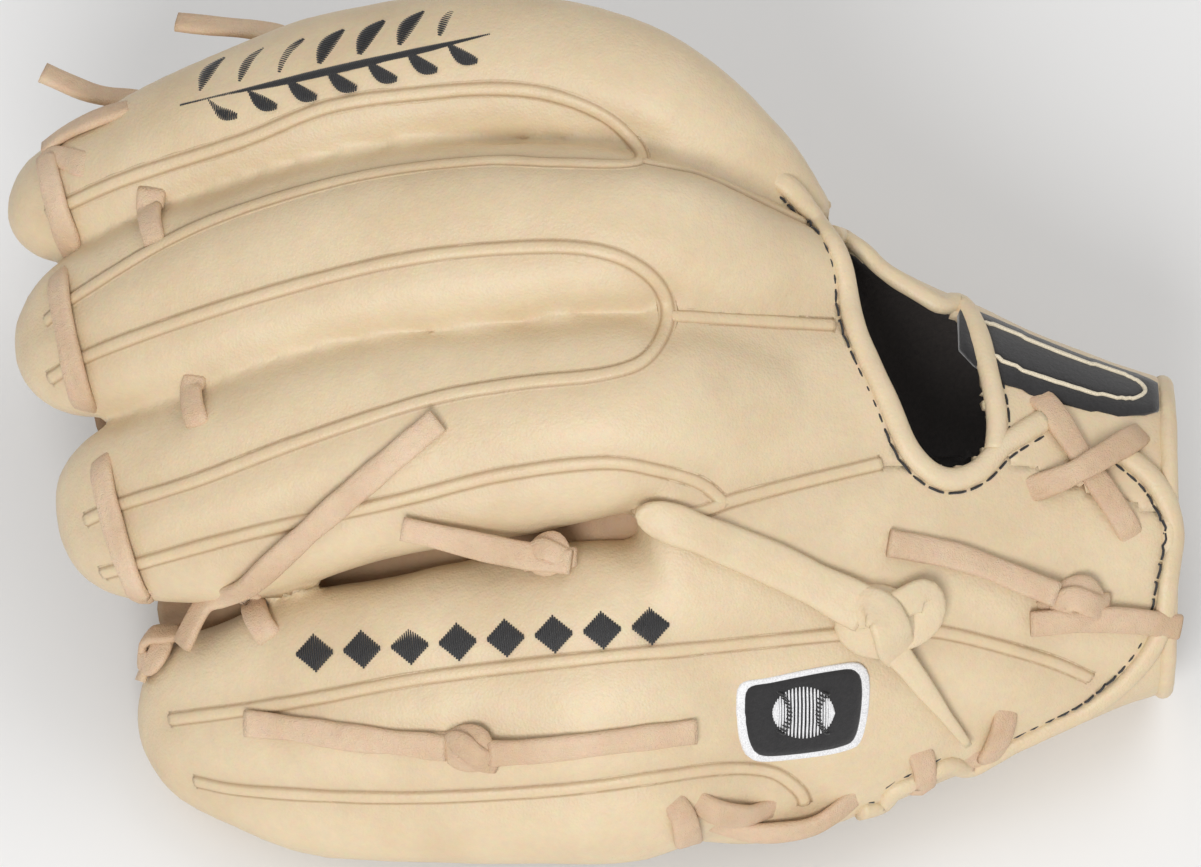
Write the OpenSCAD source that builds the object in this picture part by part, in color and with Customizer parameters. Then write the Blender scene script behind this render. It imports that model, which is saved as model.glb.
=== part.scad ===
// Open-back baseball glove, infield pattern, worn on the left hand.
// The glove is drawn in its own hand frame (fingers to -X, index side +Y, back of the hand +Z)
// and then laid down on its thumb and little-finger edge by lay().

/* [Leather] */
// Thickness of the shell leather
leather_t = 2.4; // [1.8:0.1:3.0]
// Thickness of the lining leather
lining_t = 1.2; // [0.8:0.1:1.6]
// Clearance between neighbouring pieces
gap = 0.4; // [0.3:0.1:0.6]

/* [Laces] */
// Width of a rawhide lace
lace_w = 6.4; // [4.8:0.2:7.0]
// Thickness of a rawhide lace
lace_t = 2.4; // [1.8:0.2:3.0]
// Width of the little-finger strap
strap_w = 12.5; // [10:0.5:14]

/* [Pose] */
// Tilt about X that brings thumb and little-finger edge to the ground together
lay_tilt = 32; // [28:1:36]
// Height of the hand frame's origin over the ground
lay_lift = -11.05; // [-20:0.05:-10]
// Sideways place of the hand frame's origin, towards the index finger
lay_side = 41.8; // [30:0.1:50]

/* [Hidden] */

// ---------- curves and frames ----------
function lerp(a, b, t) = a + (b - a) * t;
function unit(v) = v / norm(v);
function wrap_index(i, n) = i < 0 ? 0 : i > n - 1 ? n - 1 : i;
// Catmull-Rom curve through a list of points of any size, t from 0 to len - 1
function curve(p, t) =
    let (n = len(p), i = min(floor(t), n - 2), f = t - i,
         a = p[wrap_index(i - 1, n)], b = p[i], c = p[i + 1], d = p[wrap_index(i + 2, n)])
    0.5 * ((2 * b) + (c - a) * f + (2 * a - 5 * b + 4 * c - d) * f * f
           + (3 * b - a - 3 * c + d) * f * f * f);
function place(s) = [s[0], s[1], s[2]];
function tangent(p, t) =
    let (n = len(p) - 1, e = 0.02)
    unit(place(curve(p, min(t + e, n))) - place(curve(p, max(t - e, 0))));
// Back-of-hand direction for a roll angle, square to the tangent
function out_dir(tan, roll) =
    let (up = [0, sin(roll), cos(roll)]) unit(up - tan * (up * tan));
// Rounded-box section, exponent 2 is an ellipse
section_power = 2.3;
function rounded(v) = sign(v) * pow(abs(v), 2 / section_power);

// ---------- digit and hand sections: x, y, z, half width, half thickness, roll, arch ----------
index_s = [[-141, 50, 60, 13, 12, 42, 0], [-120, 61, 74, 15.6, 13, 42, 0], [-96, 72, 84, 17.6, 14, 42, 0],
           [-60, 83.5, 94, 19, 15, 42, 0], [-24, 87, 100, 18, 16, 40, 0], [9, 80, 103, 15, 17, 36, 0]];
middle_s = [[-139, 20, 68, 15.5, 13, 14, 0], [-118, 25, 86, 20.5, 13.5, 14, 0], [-96, 32, 98, 22.6, 14, 14, 0],
            [-60, 43, 109, 21.8, 15, 14, 0], [-24, 47, 116, 21.6, 16, 13, 0], [9, 47.5, 119, 18.8, 17, 12, 0]];
ring_s = [[-128, -22, 74, 17.5, 13, 0, 0], [-110, -18.5, 92, 21.6, 14, 0, 0], [-90, -14.5, 104, 24, 14, 0, 0],
          [-60, -5, 114, 24.4, 15, 0, 0], [-24, 0.5, 121, 23, 16, 0, 0], [9, 5, 124, 21.4, 17, 0, 0]];
pinky_s = [[-108, -67, 66, 17, 14, -12, 0], [-92, -69.5, 82, 23, 14.5, -12, 0], [-72, -70.5, 94, 30, 15, -12, 0],
           [-48, -69.5, 103, 33, 16, -12, 0], [-20, -67, 109, 36, 17, -12, 0], [8, -64.5, 112, 38, 17.5, -12, 0]];
thumb_s = [[-106, 50, 8, 18, 14, 150, 0], [-84, 53, 7, 24, 15, 150, 0], [-50, 55, 9, 26, 16, 147, 0],
           [-12, 51, 16, 26, 16.5, 140, 0], [24, 42, 27, 25, 17, 130, 0], [60, 26, 42, 21, 17, 112, 0]];
hand_s = [[17, -8, 119, 89, 17.5, 0, 22], [41, -19, 108, 79, 20, 0, 14], [66, -24, 97, 66, 24, 0, 8],
          [96, -25, 84, 53, 27, 0, 3], [120, -25, 77, 43, 28, 0, 0], [136, -25, 73, 37, 28, 0, 0]];

// A point of a section: t along the curve, angle around it, off from its surface, grow scales the section.
// Arched sections (the hand) stand square to X, the digits' stand square to their curve.
function at(s, t, angle, off = 0, grow = 1) =
    let (c = curve(s, t), tan = s[0][6] > 0 ? [1, 0, 0] : tangent(s, t),
         n = out_dir(tan, c[5]), l = cross(n, tan),
         u = (c[3] + off) * rounded(cos(angle)) * grow, v = (c[4] + off) * rounded(sin(angle)) * grow,
         sag = c[6] * pow(u / c[3], 2))
    place(c) + l * u + n * (v - sag);

// ---------- closed solids from grids ----------
// A slab between two grids of points with the same rows and columns
module slab(outer, inner, wrap = false) {
    rows = len(outer);
    cols = len(outer[0]);
    flat = concat([for (r = outer) each r], [for (r = inner) each r]);
    far = rows * cols;
    jn = wrap ? cols : cols - 1;
    function id(i, j, layer) = layer * far + i * cols + j % cols;
    faces = concat(
        [for (i = [0:rows - 2]) for (j = [0:jn - 1])
            each [[id(i, j, 0), id(i, j + 1, 0), id(i + 1, j, 0)],
                  [id(i + 1, j, 0), id(i, j + 1, 0), id(i + 1, j + 1, 0)],
                  [id(i, j, 1), id(i + 1, j, 1), id(i, j + 1, 1)],
                  [id(i + 1, j, 1), id(i + 1, j + 1, 1), id(i, j + 1, 1)]]],
        [for (j = [0:jn - 1])
            each [[id(0, j, 0), id(0, j, 1), id(0, j + 1, 0)],
                  [id(0, j + 1, 0), id(0, j, 1), id(0, j + 1, 1)],
                  [id(rows - 1, j, 0), id(rows - 1, j + 1, 0), id(rows - 1, j, 1)],
                  [id(rows - 1, j + 1, 0), id(rows - 1, j + 1, 1), id(rows - 1, j, 1)]]],
        wrap ? [] : [for (i = [0:rows - 2])
            each [[id(i, 0, 0), id(i + 1, 0, 0), id(i, 0, 1)],
                  [id(i + 1, 0, 0), id(i + 1, 0, 1), id(i, 0, 1)],
                  [id(i, cols - 1, 0), id(i, cols - 1, 1), id(i + 1, cols - 1, 0)],
                  [id(i + 1, cols - 1, 0), id(i, cols - 1, 1), id(i + 1, cols - 1, 1)]]]);
    polyhedron(points = flat, faces = faces);
}

// Rows of a digit from near the tip to its base: place along the curve and size of the section
cap_rows = [14, 34, 56, 78];
function cap_span(s) = s[0][3] / norm(place(s[1]) - place(s[0]));
function rows_of(s, off, first, last) =
    let (span = cap_span(s), shrink = 1 + off / s[0][3])
    concat([for (a = cap_rows) [span * (1 - shrink * cos(a)), sin(a)]],
           [for (i = [0:10]) [lerp(max(span, first), last, i / 10), 1]]);
// A panel of a digit between two angles and two offsets
module digit_panel(s, a0, a1, off_in, off_out, base, cols = 10) {
    function grid(off) = [for (r = rows_of(s, off, 0, base))
        [for (j = [0:cols]) at(s, r[0], lerp(a0, a1, j / cols), off, r[1])]];
    slab(grid(off_out), grid(off_in));
}
// A closed-tip tube for a digit's lining
module digit_tube(s, off_in, off_out, base, cols = 14) {
    function grid(off) = [for (r = rows_of(s, off, 0, base))
        [for (j = [0:cols - 1]) at(s, r[0], 360 * j / cols, off, r[1])]];
    slab(grid(off_out), grid(off_in), wrap = true);
}

// ---------- the hand ----------
hand_steps = 12;
// Where the back panel ends, as a place along the hand, for each angle from the thumb side over the back
edge_at = [[22, 1.05], [45, 1.45], [70, 1.95], [92, 2.45], [106, 2.75], [120, 3.1], [133, 4.2], [150, 4.75],
           [185, 4.85]];
function edge_place(angle) =
    let (i = max([for (k = [0:len(edge_at) - 2]) if (edge_at[k][0] <= angle) k]),
         f = (angle - edge_at[i][0]) / (edge_at[i + 1][0] - edge_at[i][0]))
    lerp(edge_at[i][1], edge_at[i + 1][1], f);
module hand_sheet(t0, t1, a0, a1, off_in, off_out, cols = 14) {
    function grid(off) = [for (i = [0:hand_steps])
        [for (j = [0:cols]) at(hand_s, lerp(t0, t1, i / hand_steps), lerp(a0, a1, j / cols), off)]];
    slab(grid(off_out), grid(off_in));
}
module hand_back(off_in, off_out, short, a0, a1, cols = 20) {
    function grid(off) = [for (i = [0:hand_steps])
        [for (j = [0:cols]) let (a = lerp(a0, a1, j / cols))
            at(hand_s, lerp(0, edge_place(a) - short, i / hand_steps), a, off)]];
    slab(grid(off_out), grid(off_in));
}

// ---------- bands, cords and knots ----------
// A flat band through points, each with the direction its face looks in
module band(pts, faces_to, width, thick, steps = 4) {
    n = len(pts) - 1;
    function ring(t) =
        let (c = curve(pts, t), tan = tangent(pts, t), f = unit(curve(faces_to, t)),
             side = unit(cross(f, tan)), up = cross(tan, side))
        [for (q = [[1, 0.6], [0.8, 1], [-0.8, 1], [-1, 0.6], [-1, -0.6], [-0.8, -1], [0.8, -1], [1, -0.6]])
            c + side * q[0] * width / 2 + up * q[1] * thick / 2];
    rods([for (i = [0:n * steps]) ring(i / steps)]);
}
// A closed tube through rings of the same number of points
module rods(rings) {
    n = len(rings);
    m = len(rings[0]);
    faces = concat(
        [for (i = [0:n - 2]) for (j = [0:m - 1])
            each [[i * m + j, i * m + (j + 1) % m, (i + 1) * m + j],
                  [(i + 1) * m + j, i * m + (j + 1) % m, (i + 1) * m + (j + 1) % m]]],
        [[for (j = [m - 1:-1:0]) j]],
        [[for (j = [0:m - 1]) (n - 1) * m + j]]);
    polyhedron(points = [for (r = rings) each r], faces = faces);
}
module cord(pts, r, sides = 8, steps = 3) {
    n = len(pts) - 1;
    function ring(t) =
        let (tan = tangent(pts, t), a = unit(cross(tan, [0.1, 0.2, 1])), b = cross(a, tan))
        [for (j = [0:sides - 1]) curve(pts, t) + r * (a * cos(360 * j / sides) + b * sin(360 * j / sides))];
    rods([for (i = [0:n * steps]) ring(i / steps)]);
}

// Outward direction on the hand at a place
function hand_out(t, angle) = unit(at(hand_s, t, angle, 1) - at(hand_s, t, angle, 0));
// A patch lying on a section's surface
module cloth(s, t0, t1, a0, a1, off_in, off_out, rows = 5, cols = 6) {
    function grid(off) = [for (i = [0:rows])
        [for (j = [0:cols]) at(s, lerp(t0, t1, i / rows), lerp(a0, a1, j / cols), off)]];
    slab(grid(off_out), grid(off_in));
}
// A lace lying on a section's surface through places [t, angle], its middle at height off
module lace_on(s, spots, off = lace_t / 2 + gap, width = lace_w, thick = lace_t, steps = 4) {
    band([for (q = spots) at(s, q[0], q[1], off)],
         [for (q = spots) unit(at(s, q[0], q[1], off + 1) - at(s, q[0], q[1], off))], width, thick, steps);
}
// A pulled-tight overhand knot, drawn as a lump with a waist
module knot(c, dir, up, long, wide, high) {
    d = unit(dir);
    side = unit(cross(up, d));
    lift = cross(d, side);
    shape = [[-1, 0.35], [-0.8, 0.8], [-0.4, 1], [-0.1, 0.86], [0.15, 0.86], [0.45, 1], [0.8, 0.75], [1, 0.35]];
    rods([for (q = shape) [for (j = [0:9])
        c + d * q[0] * long / 2 + q[1] * (side * cos(36 * j) * wide / 2 + lift * sin(36 * j) * high / 2)]]);
}

// ---------- back of the hand ----------
module back_panel() hand_back(-leather_t, 0, 0, 22, 185);
module back_lining() hand_back(-leather_t - gap - lining_t, -leather_t - gap, 0.12, 26, 181, 14);
module palm_panel() hand_sheet(0, 4.9, 190, 346, -leather_t, 0, 12);
module palm_felt() hand_sheet(0.1, 4.4, 196, 340, -leather_t - 2 * gap - 4, -leather_t - 2 * gap, 8);
module palm_lining() hand_sheet(0.1, 4.8, 194, 342, -leather_t - 4 * gap - 4 - lining_t,
                                -leather_t - 4 * gap - 4, 10);
module opening_binding()
    cord([for (k = [0:len(edge_at) - 1]) at(hand_s, edge_at[k][1] + 0.2, edge_at[k][0] - 1, -1.2)], 1.7, 8, 4);
module eyelet_at(t, angle) {
    n = hand_out(t, angle);
    translate(at(hand_s, t, angle, -leather_t / 2))
        rotate([0, acos(n[2]), atan2(n[1], n[0])])
            cylinder(h = 14, r = 1.6, center = true, $fn = 48);
}
module wrist_strap() difference() {
    cloth(hand_s, 3.05, 4.78, 18, 84, -leather_t, 0, 8, 8);
    eyelet_at(3.75, 62);
    eyelet_at(4.35, 70);
}
module strap_binding() cord([for (a = [20:8:84]) at(hand_s, 4.97, a, -1.2)], 1.7, 8, 2);
module strap_patch() cloth(hand_s, 3.2, 4.7, 24, 48, gap, gap + 1.4, 6, 5);
module badge_patch() cloth(hand_s, 0.75, 1.75, 116, 137, gap, gap + 1.2, 4, 5);
module index_emblem() cloth(index_s, 1.6, 4.2, 76, 128, gap, gap + 0.6, 8, 4);
module pinky_emblem() cloth(pinky_s, 1.9, 4.6, 58, 86, gap, gap + 0.6, 8, 4);

// ---------- laces on the back ----------
module fingertip_laces() {
    lace_on(index_s, [for (a = [20:26:150]) [0.95, a]], steps = 2);
    lace_on(middle_s, [for (a = [30:24:150]) [0.95, a]], steps = 2);
    lace_on(ring_s, [for (a = [35:22:145]) [0.85, a]], steps = 2);
}
module crotch_laces() {
    lace_on(middle_s, [for (a = [26:14:68]) [1.5, a]], steps = 2);
    lace_on(ring_s, [for (a = [26:14:68]) [1.35, a]], steps = 2);
    lace_on(ring_s, [for (a = [112:14:154]) [1.7, a]], steps = 2);
}
module heel_laces() {
    lace_on(hand_s, [[1.5, 150], [1.5, 158], [1.5, 166], [1.5, 174]], lace_t / 2 + 1.7, steps = 2);
    lace_on(hand_s, [[1.95, 150], [2.15, 157], [2.35, 164], [2.5, 171]], lace_t / 2 + 1.7, steps = 2);
    lace_on(hand_s, [[2.9, 140], [2.9, 150], [2.9, 160], [2.9, 170]], lace_t / 2 + 1.7, steps = 2);
    lace_on(hand_s, [[3.6, 138], [3.7, 148], [3.8, 158], [3.9, 168]], lace_t / 2 + 1.7, steps = 2);
}
module cross_laces() {
    lace_on(hand_s, [[3.35, 76], [3.75, 86], [4.1, 96], [4.4, 106]], steps = 2);
    lace_on(hand_s, [[4.4, 78], [4.1, 87], [3.75, 96], [3.45, 104]], off = 1.5 * lace_t + 2 * gap + 0.4, steps = 2);
}
module strap_band() lace_on(hand_s, [[0.25, 97], [0.6, 100], [1.0, 103], [1.4, 105.5]],
                            off = 1.6 + 4 * gap, width = strap_w, thick = 3.2, steps = 3);
module strap_knot() knot(at(hand_s, 1.78, 106, 5.4), [1, -0.5, -0.3], hand_out(1.78, 106), 14, 13, 9.6);
module ring_knot() knot(at(ring_s, 4.2, 128, 4.4), [1, -0.2, 0.05], [0, -0.4, 1], 10, 9, 7.4);
module ring_tail() lace_on(ring_s, [[3.9, 124], [3.6, 120], [3.3, 118], [3.0, 116]], steps = 3);
module tip_knot() knot(at(ring_s, 0.95, 140, 8.4), [1, 0.3, 0.8], [0, -0.4, 1], 12, 10, 8);
module tip_tail() lace_on(ring_s, [[1.35, 136], [1.9, 122], [2.4, 106], [2.9, 92], [3.4, 80]],
                          off = lace_t / 2 + 3.9, steps = 3);
module pinky_knot() knot(at(pinky_s, 3.45, 99, 5.2), [1, -0.6, 0], [0, 0, 1], 13, 11, 9);
module pinky_tail() lace_on(pinky_s, [[3.1, 98], [2.5, 97], [1.9, 96], [1.3, 96]], steps = 3);
module wrist_knot() knot(at(hand_s, 3.8, 116, 6), [1, -0.6, -0.3], hand_out(3.8, 116), 13, 11, 8.6);
module wrist_tail_in() lace_on(hand_s, [[3.4, 112], [3.0, 108], [2.6, 108]], off = lace_t / 2 + 4.4, steps = 3);
module wrist_tail_out() lace_on(hand_s, [[4.2, 118], [4.6, 119], [4.95, 120]], off = lace_t / 2 + 1.2, steps = 3);
module heel_pad() hand_sheet(3.3, 4.7, 214, 320, gap, gap + 5, 6);

// ---------- web, between the index finger's edge and the thumb's edge ----------
// A place in the web: x along it and f from the index edge (0) to the thumb edge (1)
function web_top_at(x) = [x, lerp(80, 91, (x + 96) / 72), lerp(62, 77, (x + 96) / 72)];
function web_low_at(x) = [x, lerp(77, 79, (x + 96) / 72), lerp(23, 34, (x + 96) / 72)];
function web_at(x, f, off = 0) =
    let (p = lerp(web_top_at(x), web_low_at(x), f)) p + [0, off + 7 * sin(180 * f), 0];
module web_sheet(x0, x1, f0, f1, off0, off1, rows = 4, cols = 6) {
    function grid(off) = [for (i = [0:rows])
        [for (j = [0:cols]) web_at(lerp(x0, x1, i / rows), lerp(f0, f1, j / cols), off)]];
    slab(grid(off1), grid(off0));
}
module web_pocket() web_sheet(-22, 4, 0.06, 0.92, -2, 0, 3, 8);
module web_base() web_sheet(-44, -24, 0.04, 0.96, -2, 2, 3, 8);
module web_post() web_sheet(-83, -46, 0.32, 0.68, -1.5, 1.5, 5, 4);
module web_top() web_sheet(-110, -85, 0.04, 0.96, -2, 2, 3, 8);
module web_laces() {
    for (x = [-76, -64, -52]) {
        band([for (f = [0.05:0.08:0.29]) web_at(x, f)], [for (k = [0:3]) [0, 1, 0]], lace_w, lace_t, 2);
        band([for (f = [0.71:0.08:0.95]) web_at(x, f)], [for (k = [0:3]) [0, 1, 0]], lace_w, lace_t, 2);
    }
}
module web_tail_a() band([web_at(-107, 0.2, 5), web_at(-118, 0.1, 8), web_at(-128, 0.06, 10)],
                         [for (k = [0:2]) [0, 0.8, 0.6]], lace_w, lace_t, 3);
module web_tail_b() band([web_at(-88, 0.16, 5), web_at(-97, 0.1, 10), web_at(-107, 0.05, 15)],
                         [for (k = [0:2]) [0, 0.8, 0.6]], lace_w, lace_t, 3);

// The glove lies on its thumb and its little-finger edge
module lay() translate([3.3, lay_side, lay_lift]) rotate([lay_tilt, 0, 0]) children();

lay() color("wheat") digit_panel(index_s, -20, 200, -leather_t, 0, 5);  // index_back
lay() color("wheat") digit_panel(middle_s, -20, 200, -leather_t, 0, 5);  // middle_back
lay() color("wheat") digit_panel(ring_s, -20, 200, -leather_t, 0, 5);  // ring_back
lay() color("wheat") digit_panel(pinky_s, -20, 200, -leather_t, 0, 5);  // pinky_back
lay() color("tan") digit_panel(index_s, 204, 336, -leather_t, 0, 5, 7);  // index_front
lay() color("tan") digit_panel(middle_s, 204, 336, -leather_t, 0, 5, 7);  // middle_front
lay() color("tan") digit_panel(ring_s, 204, 336, -leather_t, 0, 5, 7);  // ring_front
lay() color("tan") digit_panel(pinky_s, 204, 336, -leather_t, 0, 5, 7);  // pinky_front
lay() color("sienna") digit_tube(index_s, -leather_t - gap - lining_t, -leather_t - gap, 4.9, 12);  // index_liner
lay() color("sienna") digit_tube(middle_s, -leather_t - gap - lining_t, -leather_t - gap, 4.9, 12);  // middle_liner
lay() color("sienna") digit_tube(ring_s, -leather_t - gap - lining_t, -leather_t - gap, 4.9, 12);  // ring_liner
lay() color("sienna") digit_tube(pinky_s, -leather_t - gap - lining_t - gap - 2, -leather_t - gap - gap - 2, 4.9, 12);  // pinky_liner
lay() color("gray") digit_panel(pinky_s, 45, 135, -leather_t - gap - 2, -leather_t - gap, 4.6, 5);  // pinky_stay
lay() color("tan") back_panel();
lay() color("dimgray") back_lining();
lay() color("tan") palm_panel();
lay() color("gray") palm_felt();
lay() color("dimgray") palm_lining();
lay() color("tan") opening_binding();
lay() color("tan") wrist_strap();
lay() color("tan") strap_binding();
lay() color("dimgray") strap_patch();
lay() color("dimgray") badge_patch();
lay() color("dimgray") index_emblem();
lay() color("dimgray") pinky_emblem();
lay() color("bisque") fingertip_laces();
lay() color("bisque") crotch_laces();
lay() color("bisque") heel_laces();
lay() color("bisque") cross_laces();
lay() color("bisque") strap_band();
lay() color("bisque") strap_knot();
lay() color("bisque") tip_knot();
lay() color("bisque") tip_tail();
lay() color("bisque") ring_knot();
lay() color("bisque") ring_tail();
lay() color("bisque") pinky_knot();
lay() color("bisque") pinky_tail();
lay() color("bisque") wrist_knot();
lay() color("bisque") wrist_tail_in();
lay() color("bisque") wrist_tail_out();
lay() color("gray") heel_pad();
lay() color("wheat") digit_panel(thumb_s, -20, 200, -leather_t, 0, 5);  // thumb_back
lay() color("tan") digit_panel(thumb_s, 204, 336, -leather_t, 0, 5, 7);  // thumb_front
lay() color("sienna") digit_tube(thumb_s, -leather_t - gap - lining_t - gap - 2, -leather_t - gap - gap - 2, 4.9, 12);  // thumb_liner
lay() color("gray") digit_panel(thumb_s, 45, 135, -leather_t - gap - 2, -leather_t - gap, 4.6, 5);  // thumb_stay
lay() color("tan") web_pocket();
lay() color("tan") web_base();
lay() color("tan") web_post();
lay() color("tan") web_top();
lay() color("bisque") web_laces();
lay() color("bisque") web_tail_a();
lay() color("bisque") web_tail_b();
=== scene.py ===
"""Looks of the baseball glove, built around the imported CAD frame.

Everything is drawn in millimetres in the glove's hand frame (fingers to -X, index side +Y, back of the
hand +Z) and laid down into the row frame by LAY, as the CAD part is.
"""

import math

import bpy
import numpy as np
from mathutils import Matrix, Vector, noise
from mathutils.bvhtree import BVHTree
from mathutils.kdtree import KDTree


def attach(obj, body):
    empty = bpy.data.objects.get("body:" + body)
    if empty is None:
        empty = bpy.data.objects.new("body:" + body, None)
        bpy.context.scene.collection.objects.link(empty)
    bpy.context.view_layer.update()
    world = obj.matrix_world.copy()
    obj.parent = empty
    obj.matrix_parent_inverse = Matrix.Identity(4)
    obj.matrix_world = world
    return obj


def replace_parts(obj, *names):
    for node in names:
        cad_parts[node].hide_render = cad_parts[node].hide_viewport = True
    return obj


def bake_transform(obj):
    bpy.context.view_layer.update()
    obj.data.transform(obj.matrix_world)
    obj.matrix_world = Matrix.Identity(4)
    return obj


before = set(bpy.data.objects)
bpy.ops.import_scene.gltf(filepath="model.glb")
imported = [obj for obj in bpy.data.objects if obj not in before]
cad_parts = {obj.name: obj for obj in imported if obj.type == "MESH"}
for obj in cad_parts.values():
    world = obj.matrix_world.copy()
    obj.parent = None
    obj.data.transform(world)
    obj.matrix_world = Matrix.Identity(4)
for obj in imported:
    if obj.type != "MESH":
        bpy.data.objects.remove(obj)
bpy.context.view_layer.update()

LAY = Matrix.Translation((0.0033, 0.0418, -0.01105)) @ Matrix.Rotation(math.radians(32), 4,
        "X") @ Matrix.Scale(0.001, 4)
LEATHER = 2.4  # thickness of the shell leather
LACE_W, LACE_T = 6.4, 2.4
VOXEL = 2.2  # of the remeshed skins: finer ones tear in the valleys between the fingers
MOUTH_X = 136.5  # where the wrist's mouth is cut open
SOFTENING = 6  # smoothing passes on a remeshed skin


# ---------- curves ----------
def spline(points, step=1.0):
    """Catmull-Rom through points, sampled about every step."""
    p = np.array(points, float)
    if len(p) == 2:
        n = max(int(np.linalg.norm(p[1] - p[0]) / step), 1)
        return np.array([p[0] + (p[1] - p[0]) * k / n for k in range(n + 1)])
    p = np.vstack([2 * p[0] - p[1], p, 2 * p[-1] - p[-2]])
    out = []
    for i in range(1, len(p) - 2):
        a, b, c, d = p[i - 1 : i + 3]
        n = max(int(np.linalg.norm(c - b) / step), 1)
        for f in np.arange(n) / n:
            square, cube = 2 * a - 5 * b + 4 * c - d, 3 * b - a - 3 * c + d
            out.append(0.5 * (2 * b + (c - a) * f + square * f**2 + cube * f**3))
    out.append(p[-2])
    return np.array(out)


def unit(v):
    """v at length 1."""
    v = np.asarray(v, float)
    return v / max(np.linalg.norm(v), 1e-9)


def tangents(p):
    """The directions of a route, place by place."""
    t = np.gradient(p, axis=0)
    return t / np.maximum(np.linalg.norm(t, axis=1, keepdims=True), 1e-9)


# ---------- sections of the digits and the hand: x, y, z, half width, half thickness, roll, arch ----------
DIGITS = {
    "index": [(-141, 50, 60, 13, 12, 42), (-120, 61, 74, 15.6, 13, 42), (-96, 72, 84, 17.6, 14, 42),
              (-60, 83.5, 94, 19, 15, 42), (-24, 87, 100, 18, 16, 40), (9, 80, 103, 15.5, 17, 36),
              (36, 62, 98, 12, 13, 30), (51, 50, 93, 6, 7, 30)],
    "middle": [(-139, 20, 68, 15.5, 13, 14), (-118, 25, 86, 20.5, 13.5, 14), (-96, 32, 98, 22.6, 14, 14),
               (-60, 43, 109, 21.8, 15, 14), (-24, 47, 116, 21.6, 16, 13), (9, 47, 119, 18.8, 17, 12),
               (36, 39, 109, 16, 14, 8), (60, 32, 96, 12, 9, 6)],
    "ring": [(-128, -22, 74, 17.5, 13, 0), (-110, -18.5, 92, 21.6, 14, 0), (-90, -15, 104, 24.8, 14, 0),
             (-60, -5.5, 114, 25.4, 15, 0), (-24, 0, 121, 24.2, 16, 0), (9, 4.5, 124, 22.4, 17, 0),
             (40, 4, 112, 18, 14, 0)],
    "pinky": [(-108, -67, 66, 17, 14, -12), (-92, -69.5, 82, 23, 14.5, -12),
              (-72, -70, 94, 31.2, 15.5, -12), (-48, -68.8, 103, 34.4, 16.5, -12),
              (-20, -66, 109, 37.4, 17.5, -12),
              (8, -63.5, 112, 38.5, 18, -12), (40, -60, 100, 30, 16, -12)],
    "thumb": [(-106, 50, 8, 18, 14, 150), (-84, 53, 7, 24, 15, 150), (-50, 55, 9, 26, 16, 147),
              (-12, 51, 16, 26, 16.5, 140), (24, 42, 27, 25, 17, 130), (60, 26, 42, 21, 17, 112), (84, 10, 48, 15, 12, 102),
              (100, 0, 49, 9, 6, 95)],
}
HAND = [(9, -4, 120, 80, 11, 0, 24), (17, -8, 119, 88, 16, 0, 22), (41, -19, 108, 79, 19, 0, 14),
        (66, -24, 97, 66, 23, 0, 8),
        (96, -25, 84, 53, 27, 0, 3), (120, -25, 77, 43, 28, 0, 0), (138, -25, 73, 37, 28, 0, 0)]
POWER = 2.3


def section_ring(c, tangent, n, grow=1.0):
    """The ring of n points of a section, square to the way."""
    roll = math.radians(c[5])
    up = np.array([0, math.sin(roll), math.cos(roll)])
    out = unit(up - tangent * (up @ tangent))
    left = np.cross(out, tangent)
    arch = c[6] if len(c) > 6 else 0
    ring = []
    for k in range(n):
        a = 2 * math.pi * k / n
        u = c[3] * math.copysign(abs(math.cos(a)) ** (2 / POWER), math.cos(a)) * grow
        v = c[4] * math.copysign(abs(math.sin(a)) ** (2 / POWER), math.sin(a)) * grow
        ring.append(c[:3] + left * u + out * (v - arch * (u / c[3]) ** 2))
    return ring


def tube(sections, upright=False, n=72, round_tip=True):
    """A closed tube through sections, with a round tip at its first end."""
    s = spline(np.array(sections, float), 2.0)
    tan = tangents(s[:, :3])
    if upright:
        tan[:] = (1, 0, 0)
    travelled = np.concatenate([[0], np.cumsum(np.linalg.norm(np.diff(s[:, :3], axis=0), axis=1))])
    reach = s[0][3] * 1.15 if round_tip else 5
    rings = []
    for c, t, d in zip(s, tan, travelled):
        grow = math.sqrt(max(1 - (1 - min(d / reach, 1)) ** 2, 0.02)) if d < reach else 1
        rings.append(section_ring(c, t, n, grow))
    return grid_solid(rings)


def grid_solid(rings, closed=True):
    """Rings of points joined into a skin, closed at both ends."""
    m, n = len(rings), len(rings[0])
    verts = [tuple(p) for r in rings for p in r]
    faces = [(i * n + j, i * n + (j + 1) % n, (i + 1) * n + (j + 1) % n, (i + 1) * n + j)
             for i in range(m - 1) for j in range(n)]
    if closed:
        faces += [tuple(range(n - 1, -1, -1)), tuple((m - 1) * n + j for j in range(n))]
    return verts, faces


def joined(parts):
    """Several lists of vertices and faces as one."""
    verts, faces = [], []
    for v, f in parts:
        base = len(verts)
        verts += [tuple(p) for p in v]
        faces += [tuple(i + base for i in face) for face in f]
    return verts, faces


# ---------- materials ----------
def nodes_of(name):
    """A new material with its nodes, links and main shader."""
    m = bpy.data.materials.new(name)
    m.use_nodes = True
    return m, m.node_tree.nodes, m.node_tree.links, m.node_tree.nodes["Principled BSDF"]


def add(nodes, kind, **values):
    """A new node; each value goes to the input of that name, or else to the node's own setting."""
    n = nodes.new(kind)
    for key, value in values.items():
        if key in n.inputs:
            n.inputs[key].default_value = value
        else:
            setattr(n, key, value)
    return n


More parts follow.
